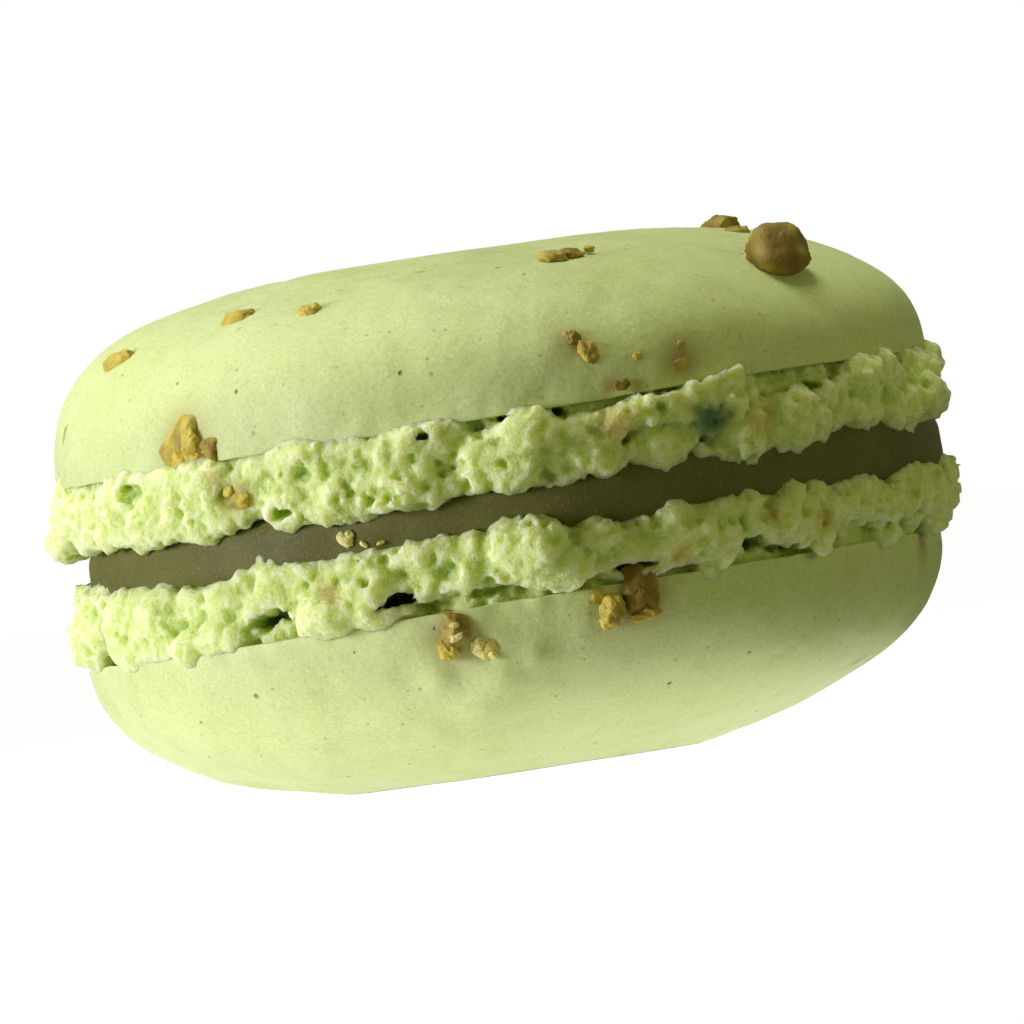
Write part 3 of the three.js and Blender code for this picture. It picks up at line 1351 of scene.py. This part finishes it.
def mm_box(node: str) -> tuple[np.ndarray, np.ndarray]:
    """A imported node's lowest and highest corners in millimetres."""
    low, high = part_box(node)
    return np.array(low) / MM, np.array(high) / MM


@dataclass
class Macaron:
    """The whole: two shells and the filling between them, with the nuts and crumbs that fell on them."""

    upper: BakedHalf
    lower: BakedHalf
    filling: Filling
    chips_behind_upper: int = 14
    chips_behind_lower: int = 7

    @classmethod
    def sized_by_solids(cls) -> "Macaron":
        """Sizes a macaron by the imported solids.

        Returns:
            A macaron whose shells' bases lie on the filling's two faces. The filling is a little thicker
            than its solid, so that no gap shows between it and the froth.
        """
        low, high = mm_box("filling")
        crown = float(mm_box("shell_upper")[1][2])
        axis = float(low[0] + high[0]) / 2
        upper_foot, lower_foot, pressed = 3.4, 3.2, 0.35
        return cls(
            upper=BakedHalf(
                facing=Facing.UP,
                middle=axis - 0.3,
                base=float(high[2]),
                radius=22.0,
                foot_height=upper_foot,
                dome_height=crown - float(high[2]) - upper_foot,
                flatness=2.75,
                seed=11,
            ),
            lower=BakedHalf(
                facing=Facing.DOWN,
                middle=axis - 0.55,
                base=float(low[2]),
                radius=21.35,
                foot_height=lower_foot,
                dome_height=float(low[2]) - lower_foot + pressed,
                flatness=2.35,
                seed=29,
            ),
            filling=Filling(
                low=float(low[2]) - 0.15,
                high=float(high[2]) + 0.15,
                middle=axis + 0.2,
                radius=float(high[0] - low[0]) / 2 + 0.2,
            ),
        )

    def upper_chips(self) -> list[Chip]:
        """The chips that show in the front of the upper dome.

        Returns:
            The chips, from the crown down.
        """
        return [
            Chip(15.25, 9.05, 3.9, 3.0, 2.6, 1.6, 0.26),
            Chip(12.6, 10.9, 2.8, 2.0, 1.5, 0.85, 0.28, back=True),
            Chip(4.1, 10.8, 1.4, 1.7, 0.9, 0.26, 0.4),
            Chip(5.0, 10.85, 1.2, 1.6, 0.9, 0.24, 0.3),
            Chip(5.9, 10.9, 0.5, 0.7, 0.4, 0.14, 0.5),
            Chip(-2.9, 10.85, 1.6, 1.0, 0.5, 0.1, 0.75),
            Chip(-8.2, 9.85, 1.2, 1.1, 0.8, 0.3, 0.6),
            Chip(-11.8, 9.95, 2.0, 1.3, 1.0, 0.42, 0.5, turn=12),
            Chip(-11.1, 10.1, 0.8, 0.7, 0.6, 0.3, 0.35),
            Chip(-14.4, 10.1, 1.2, 0.9, 0.7, 0.22, 0.5, turn=15),
            Chip(-17.9, 8.9, 2.3, 1.1, 1.0, 0.5, 0.55, turn=22),
            Chip(-21.2, 5.9, 0.7, 1.1, 0.5, 0.08, 0.6),
            Chip(-15.2, 4.9, 2.3, 1.9, 1.5, 0.55, 0.5),
            Chip(-16.0, 4.1, 1.8, 1.7, 1.0, 0.35, 0.45),
            Chip(-14.7, 4.3, 1.2, 1.7, 1.2, 0.7, 0.62),
            Chip(-15.4, 3.7, 1.5, 1.3, 1.0, 0.5, 0.72),
            Chip(-14.1, 4.0, 1.7, 1.7, 1.0, 0.4, 0.35),
            Chip(-14.6, 3.6, 1.0, 0.8, 0.8, 0.5, 0.65),
            Chip(5.05, 5.85, 1.3, 1.6, 1.0, 0.1, 0.42),
            Chip(4.4, 6.6, 1.0, 0.9, 0.6, 0.04, 0.3),
            Chip(9.4, 4.4, 1.6, 1.4, 1.3, 0.16, 0.52),
            Chip(9.6, 5.3, 0.5, 0.5, 0.4, 0.16, 0.5),
            Chip(6.5, 3.8, 1.0, 0.7, 0.6, 0.12, 0.2),
            Chip(7.4, 5.1, 0.6, 0.5, 0.5, 0.12, 0.55),
        ]

    def lower_chips(self) -> list[Chip]:
        """The chips that show in the front of the lower dome.

        Returns:
            The chips: a split one, a ring of sugar round a pit, two lumps under the skirt and loose bits.
        """
        return [
            Chip(-3.3, 4.2, 1.8, 2.2, 1.6, 0.42, 0.34),
            Chip(-3.6, 4.9, 1.1, 1.1, 1.0, 0.42, 0.5),
            Chip(-3.1, 4.3, 0.8, 0.45, 0.5, 0.56, 1.0, turn=-20),
            Chip(-3.1, 3.75, 0.5, 0.35, 0.5, 0.52, 0.95),
            Chip(-1.95, 5.15, 1.5, 1.3, 0.6, 0.09, 0.95),
            Chip(-2.05, 5.05, 0.95, 0.8, 0.5, 0.13, 0.5),
            Chip(-1.5, 5.5, 0.55, 0.4, 0.4, 0.22, 0.9),
            Chip(6.1, 3.4, 2.0, 2.6, 2.0, 0.62, 0.27),
            Chip(4.6, 4.25, 1.4, 1.5, 1.3, 0.7, 0.42),
            Chip(4.4, 4.8, 1.0, 0.7, 0.8, 0.6, 0.7),
            Chip(6.4, 4.65, 1.1, 0.7, 0.9, 0.62, 0.55),
            Chip(5.9, 4.8, 1.0, 0.5, 0.8, 0.55, 0.6),
            Chip(3.9, 3.5, 1.1, 0.9, 0.5, 0.06, 0.5),
            Chip(21.2, 3.7, 0.5, 0.6, 0.4, 0.12, 0.2),
        ]

    def crumbs(self) -> list[tuple[BakedHalf | Filling, list[Chip]]]:
        """The pale almond crumbs that were caught in the froth and on the filling.

        Returns:
            What they sit in, and the crumbs in it.
        """
        caught = [
            Chip(5.9, 1.9, 1.0, 0.9, 0.9, 0.62, 0.55),
            Chip(-12.8, 1.3, 1.0, 0.9, 0.8, 0.42, 0.6),
            Chip(-13.3, 1.8, 0.6, 0.6, 0.6, 0.42, 0.7),
        ]
        stuck = [
            Chip(-8.6, 12.8, 1.0, 0.6, 0.5, 0.26, 1.0, turn=-40),
            Chip(-8.3, 13.0, 0.4, 0.5, 0.35, 0.22, 0.9, turn=20),
            Chip(-7.7, 12.4, 0.5, 0.25, 0.3, 0.14, 1.0, turn=-50),
            Chip(-6.9, 12.35, 0.45, 0.2, 0.3, 0.12, 0.9, turn=10),
            Chip(-18.8, 11.7, 0.5, 0.35, 0.3, 0.25, 0.95),
            Chip(3.0, 12.2, 0.2, 0.2, 0.2, 0.12, 1.0),
        ]
        return [(self.upper, caught), (self.filling, stuck)]

    def upper_dome(self) -> Dome:
        """The upper shell's dome, stained where caramel ran from the chips above the skirt."""
        stains = ((4.4, 6.3, 0.8), (5.9, 3.8, 0.5), (7.2, 3.6, 0.4), (9.5, 4.6, 1.0), (-15.1, 4.4, 1.7))
        return Dome(self.upper, "dome_upper", stains=tuple(Spot(*stain) for stain in stains))

    def lower_dome(self) -> Dome:
        """The lower shell's dome, pressed flat at the crown.

        Returns:
            The dome: its bulges are bubbles under the skin, and the last two the rim and floor of a pit.
        """
        return Dome(
            self.lower,
            "dome_lower",
            pressed=self.lower.crown() - self.lower.base,
            bulges=(
                Spot(-4.2, 6.3, 0.6, 0.22),
                Spot(-1.0, 6.9, 0.8, 0.34),
                Spot(0.6, 6.0, 0.5, 0.2),
                Spot(-2.4, 8.0, 1.0, 0.28),
                Spot(-1.9, 5.2, 0.62, 0.3),
                Spot(-1.9, 5.2, 0.42, -0.5),
            ),
            stains=(Spot(20.5, 3.6, 0.7), Spot(16.5, 9.0, 0.6), Spot(6.1, 3.7, 1.4), Spot(-3.3, 4.3, 1.3)),
        )

    def upper_foot(self) -> Froth:
        """The upper shell's foot.

        Returns:
            The foot: it meets the skirt in most places, and a flap of it stands up in front.
        """
        return Froth(
            replace(self.upper, radius=self.upper.radius - 0.1, middle=self.upper.middle - 0.15),
            "foot_upper",
            ribbon_middle=1.3,
            ribbon_half=1.85,
            groove=0.5,
            fringe=(
                *((-21, 0.06), (-15, -0.4), (-12, 0.15), (-10, 0.15), (-7.5, -0.4), (-5, -0.53), (1, -0.6)),
                *((3.5, -0.34), (10, -0.55), (13, -0.7), (16, -0.3), (18, 0.15), (22, 0.1)),
            ),
            crest=(
                *((-22, 9), (-2, 9), (-1, 2.7), (7.2, 2.6), (7.6, 9)),
                *((12.6, 9), (13, 2.0), (16.5, 2.1), (18.5, 3), (20, 9)),
            ),
            ledges=(Ledge(7.6, 12.6, 1.6, 2.7, 3.95, 0.75, 1.3),),
            risers=(
                Lump(15.0, 1.4, -0.2, 2.4, 0.6, 0.6),
                Lump(18.6, 2.4, -0.2, 1.8, 0.7, 0.9),
                Lump(21.3, 2.3, -0.8, 2.0, 1.0, 1.9),
                Lump(-21.4, 0.9, -0.4, 1.6, 1.0, 1.2),
                Lump(-16.0, 3.0, -0.3, 3.4, 0.6, 0.7),
                Lump(-9.5, 3.0, -0.3, 3.4, 0.6, 0.7),
            ),
            caves=(
                Lump(7.3, 3.15, -0.5, 0.35, 1.2, 0.24),
                Lump(3.3, 3.05, -0.5, 0.45, 1.2, 0.28),
                Lump(0.6, 3.1, -0.5, 0.7, 1.2, 0.2),
                Lump(-3.4, 2.9, -0.2, 0.6, 0.8, 0.3),
                Lump(-5.1, 2.3, 0.0, 0.25, 1.0, 0.15),
                Lump(15.8, 2.3, -0.2, 0.5, 1.0, 0.3),
                Lump(-18.0, 2.6, 0.2, 0.7, 0.6, 0.4),
                Lump(10.0, 0.55, -0.2, 0.3, 1.2, 0.26),
                Lump(6.4, 1.1, 0.2, 0.4, 0.8, 0.25),
                Lump(-10.6, 0.3, 0.2, 0.6, 0.8, 0.2),
            ),
            toasts=(
                Spot(-12.9, 1.4, 0.8),
                Spot(6.0, 1.95, 1.05),
                Spot(13.1, 1.05, 0.8),
                Spot(-14.0, 2.6, 0.4),
            ),
            dyes=(Spot(10.7, 1.4, 0.95),),
        )

    def lower_foot(self) -> Froth:
        """The lower shell's foot.

        Returns:
            The foot: its ribbon stands off the skirt, over a groove with caves.
        """
        return Froth(
            replace(self.lower, radius=self.lower.radius + 0.15, middle=self.lower.middle + 0.55),
            "foot_lower",
            ribbon_middle=0.75,
            ribbon_half=1.55,
            groove=0.85,
            fringe=(
                *((-22, -1.0), (-20, -0.7), (-18, 0.05), (-14.5, 0.1), (-13.7, -0.6), (-5.5, -0.48)),
                *((-3, -0.55), (1, -0.15), (5.2, 0.05), (5.6, -0.1), (7.5, -0.34), (12, -0.27), (21, -0.14)),
            ),
            risers=(
                Lump(-21.4, 1.2, 0.25, 2.0, 1.0, 1.9),
                Lump(-19.6, 1.9, 0.0, 2.2, 0.9, 1.7),
                Lump(-18.0, 2.7, -0.15, 2.6, 0.8, 0.8),
                Lump(-15.0, 2.7, -0.2, 1.9, 0.7, 0.8),
                Lump(-9.2, 2.2, -0.1, 2.0, 0.8, 1.0),
                Lump(14.8, 2.7, 0.1, 0.6, 0.6, 0.7),
                Lump(20.7, 1.4, 0.1, 1.4, 0.9, 1.6),
                Lump(2.0, 1.7, 0.1, 1.6, 0.8, 0.9),
            ),
            caves=(
                Lump(-12.8, 2.15, -0.5, 0.75, 1.4, 0.4),
                Lump(-12.0, 1.9, -0.5, 0.65, 1.4, 0.5),
                Lump(-6.8, 2.25, -0.5, 0.75, 1.4, 0.38),
                Lump(-6.0, 2.1, -0.5, 0.75, 1.4, 0.45),
                Lump(-3.7, 1.15, 0.65, 0.8, 0.8, 0.6),
                Lump(-1.6, 2.4, -0.2, 1.4, 0.9, 0.35),
                Lump(11.4, 2.15, -0.4, 0.65, 1.4, 0.45),
                Lump(13.3, 2.6, -0.4, 0.3, 1.2, 0.22),
                Lump(5.6, 2.35, -0.4, 1.2, 1.1, 0.33),
            ),
            toasts=(Spot(-9.5, 1.2, 0.6), Spot(15.0, 1.6, 0.6), Spot(7.8, 2.3, 0.7), Spot(12.5, 1.0, 0.5)),
        )

    def build(self) -> list[Piece]:
        """Makes every piece in order.

        Returns:
            The pieces.
        """
        skin, froth, nut = BakedSkin().make(), BakedFroth().make(), CaramelNut().make()
        shells = [
            (self.upper_dome(), skin, "upper_shell", "shell_upper"),
            (self.lower_dome(), skin, "lower_shell", "shell_lower"),
            (self.upper_foot(), froth, "upper_shell", "shell_upper"),
            (self.lower_foot(), froth, "lower_shell", "shell_lower"),
        ]
        pieces = []
        for part, finish, slot, node in shells:
            pieces.append(part.build(finish, slot))
            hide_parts(node)
        pieces.append(self.filling.build(SoftGanache().make()))
        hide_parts("filling")
        chips = NutChips("nut_chips", "upper_shell")
        rng = np.random.default_rng(chips.seed + 1)
        behind_upper = chips.scattered(self.upper, self.chips_behind_upper, rng)
        behind_lower = chips.scattered(self.lower, self.chips_behind_lower, rng)
        fallen = [self.upper_chips() + behind_upper, self.lower_chips() + behind_lower]
        pieces.append(chips.build(nut, list(zip((self.upper, self.lower), fallen))))
        flakes = NutChips("almond_crumbs", "upper_shell", seed=43, around=30, rings=18)
        pieces.append(flakes.build(nut, self.crumbs()))
        return pieces


# ---------------------------------------------------------------- the studio


@dataclass(frozen=True)
class Lamp:
    """A soft round light: where it stands, its diameter and watts, its colour, and what it faces."""

    name: str
    place: tuple[float, float, float]
    size: float
    watts: float
    colour: str
    target: tuple[float, float, float] = (0.0, 0.0, 12.0)

    def hang(self) -> None:
        """Adds the light, facing its target."""
        light = bpy.data.lights.new(self.name, "AREA")
        light.shape = "DISK"
        light.size = self.size * MM
        light.energy = self.watts
        light.color = linear(self.colour)[:3]
        stand = bpy.data.objects.new(self.name, light)
        stand.location = Vector(self.place) * MM
        stand.rotation_euler = (Vector(self.target) - Vector(self.place)).to_track_quat("-Z", "Y").to_euler()
        stand.visible_camera = False
        bpy.context.scene.collection.objects.link(stand)


@dataclass(frozen=True)
class Studio:
    """A white table, soft lights and the camera, which faces the macaron's side and leans to its right."""

    lamps: tuple[Lamp, ...] = (
        Lamp("key", (-340, -130, 60), 130, 1.82, "dcdcff"),
        Lamp("overhead", (-50, 20, 340), 180, 0.82, "f2f2ff"),
        Lamp("bounce", (-5, 0, 0.02), 51, 0.0078, "dedef0", target=(-5, 0, 100)),  # the table's own light
        Lamp("front", (-255, -300, 40), 160, 0.12, "ffff9c"),
        Lamp("right", (320, -180, 60), 160, 0.205, "ffffc0"),
    )
    table_half: float = 4000.0
    table_colour: str = "7c7c7c"
    table_glow: float = 0.97
    room_colour: str = "fffe98"
    room_strength: float = 0.07
    mirrored_strength: float = 0.25
    roll: float = 8.5
    elevation: float = 0.0
    distance: float = 1000.0
    view_width: float = 51.2
    film_width: float = 36.0
    target: tuple[float, float, float] = (0.25, 0.0, 12.8)

    def lay_table(self) -> None:
        """Adds the table: white to the camera, and darker to the macaron, which has its own bounce light."""
        half = self.table_half * MM
        corners = [(-half, -half, 0), (half, -half, 0), (half, half, 0), (-half, half, 0)]
        mesh = bpy.data.meshes.new("table")
        mesh.from_pydata(corners, [], [(0, 1, 2, 3)])
        table = bpy.data.objects.new("table", mesh)
        bpy.context.scene.collection.objects.link(table)
        material = bpy.data.materials.new("white_card")
        material.use_nodes = True
        tree = material.node_tree
        shader = tree.nodes["Principled BSDF"]
        shader.inputs["Base Color"].default_value = linear(self.table_colour)
        shader.inputs["Roughness"].default_value = 1.0
        shader.inputs["Specular IOR Level"].default_value = 0.0
        shader.inputs["Emission Color"].default_value = linear("ffffff")
        seen = add(tree, "LightPath").outputs["Is Camera Ray"]
        glow = add(tree, "Math", {0: seen, 1: self.table_glow}, operation="MULTIPLY").outputs[0]
        tree.links.new(glow, shader.inputs["Emission Strength"])
        mesh.materials.append(material)

    def light_room(self) -> None:
        """Sets the room's own light: faint on the macaron, white behind it, and grey in its gloss."""
        world = bpy.data.worlds.new("room")
        bpy.context.scene.world = world
        world.use_nodes = True
        tree = world.node_tree
        faint = tree.nodes["Background"]
        faint.inputs["Color"].default_value = linear(self.room_colour)
        faint.inputs["Strength"].default_value = self.room_strength
        path = add(tree, "LightPath").outputs
        mirrored = {0: path["Is Glossy Ray"], 1: self.mirrored_strength}
        mirrored = add(tree, "Math", mirrored, operation="MULTIPLY").outputs[0]
        shown = add(tree, "Math", {0: path["Is Camera Ray"], 1: mirrored}, operation="MAXIMUM").outputs[0]
        white = add(tree, "Background", {"Color": linear("ffffff"), "Strength": 1.0}).outputs[0]
        mixed = add(tree, "MixShader", {0: shown, 1: faint.outputs[0], 2: white}).outputs[0]
        tree.links.new(mixed, tree.nodes["World Output"].inputs["Surface"])
        bpy.context.scene.view_settings.view_transform = "Standard"

    def set_camera(self) -> None:
        """Adds the camera, facing the side of the macaron, rolled so that its right side is up."""
        camera = bpy.data.cameras.new("camera")
        camera.sensor_width = self.film_width
        camera.lens = self.film_width * self.distance / self.view_width
        camera.clip_start = 0.01
        stand = bpy.data.objects.new("camera", camera)
        rise = math.radians(self.elevation)
        lean = math.radians(self.roll)
        back = Vector((0, -math.cos(rise), math.sin(rise)))
        level_up = Vector((0, math.sin(rise), math.cos(rise)))
        up = level_up * math.cos(lean) + Vector((1, 0, 0)) * math.sin(lean)
        turn = Matrix((up.cross(back), up, back)).transposed()
        place = (Vector(self.target) + back * self.distance) * MM
        stand.matrix_world = Matrix.Translation(place) @ turn.to_4x4()
        bpy.context.scene.collection.objects.link(stand)
        bpy.context.scene.camera = stand

    def build(self) -> None:
        """Sets up the table, the lights and the camera."""
        self.lay_table()
        self.light_room()
        self.set_camera()
        for lamp in self.lamps:
            lamp.hang()


def main() -> None:
    """Builds the macaron and the studio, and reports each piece."""
    logging.basicConfig(level=logging.INFO, format="%(name)s: %(message)s")
    for piece in Macaron.sized_by_solids().build():
        log.info("%s: %d points, %d faces", piece.name, len(piece.data.vertices), len(piece.data.polygons))
    Studio().build()


if __name__ == "__main__":
    main()
